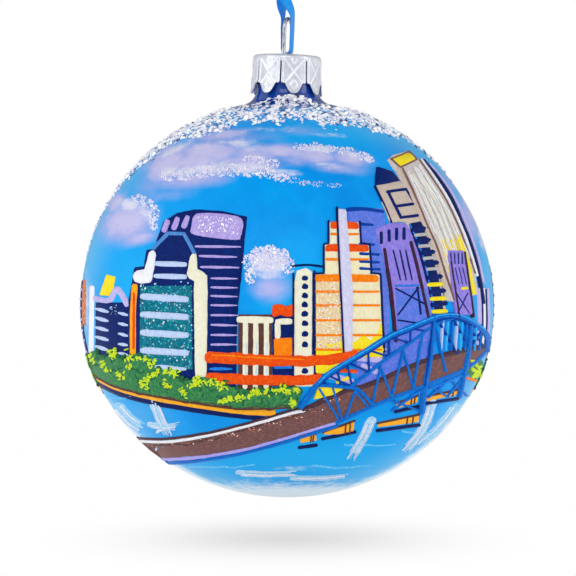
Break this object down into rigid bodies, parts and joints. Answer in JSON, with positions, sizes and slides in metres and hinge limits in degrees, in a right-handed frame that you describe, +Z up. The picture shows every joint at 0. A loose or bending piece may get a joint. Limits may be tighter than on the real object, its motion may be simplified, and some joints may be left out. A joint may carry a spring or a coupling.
{
  "type": "christmas ball ornament",
  "caption": "Hand-painted glass ball ornament with a glittered shoulder, raised river-city picture, crown cap, wire eye and satin ribbon loop.",
  "frame": {"origin": "the point inside the top of the ribbon loop where a hook bears", "axes": "+Z up along the ball's own axis, -Y towards the front of the painted picture, +X to its right"},
  "size_m": [0.1006, 0.1004, 0.1835],
  "materials": {
    "ball_paint": "silvered inside and airbrushed blue outside, satin gloss",
    "glitter": "coarse silver flakes in clear glue",
    "cloud_paint": "raised lilac enamel with fine glitter",
    "skyline_paint": "raised enamel, brushed by hand",
    "bank_paint": "dabbed enamel",
    "bridge_paint": "raised enamel line work",
    "cap_metal": "stamped and embossed foil, matte silver",
    "wire_metal": "drawn steel wire",
    "ribbon_satin": "single-faced satin, azure blue"
  },
  "bodies": {
    "ribbon_top": {"ribbon_top": "ribbon_satin", "ribbon_knot": "ribbon_satin"},
    "ribbon_strands": {"ribbon_strands": "ribbon_satin"},
    "ribbon_fold": {"ribbon_fold": "ribbon_satin"},
    "hanger": {"hanger_wire": "wire_metal"},
    "cap": {"cap": "cap_metal"},
    "ball": {"glass_ball": "ball_paint", "glitter_collar": "glitter", "cloud_relief": "cloud_paint", "skyline_relief": "skyline_paint", "riverbank_relief": "bank_paint", "bridge_relief": "bridge_paint"}
  },
  "joints": [
    {"name": "ornament_swing", "type": "hinge", "parent": "ribbon_top", "child": "ribbon_strands", "pos_m": [-0.0007, 0, -0.023], "axis": [1, 0, 0], "range_deg": [-45, 45]},
    {"name": "ribbon_twist", "type": "hinge", "parent": "ribbon_strands", "child": "ribbon_fold", "pos_m": [-0.0012, 0, -0.04], "axis": [0, 0, 1], "range_deg": [-180, 180]},
    {"name": "ribbon_slack", "type": "slide", "parent": "ribbon_fold", "child": "hanger", "axis": [0, 0, -1], "range_m": [0, 0.006]},
    {"name": "wire_in_cap", "type": "slide", "parent": "hanger", "child": "cap", "axis": [-0.0349, 0, -0.9994], "range_m": [0, 0.004]},
    {"name": "ball_pull_off", "type": "slide", "parent": "cap", "child": "ball", "axis": [0, 0, -1], "range_m": [0, 0.035]}
  ]
}
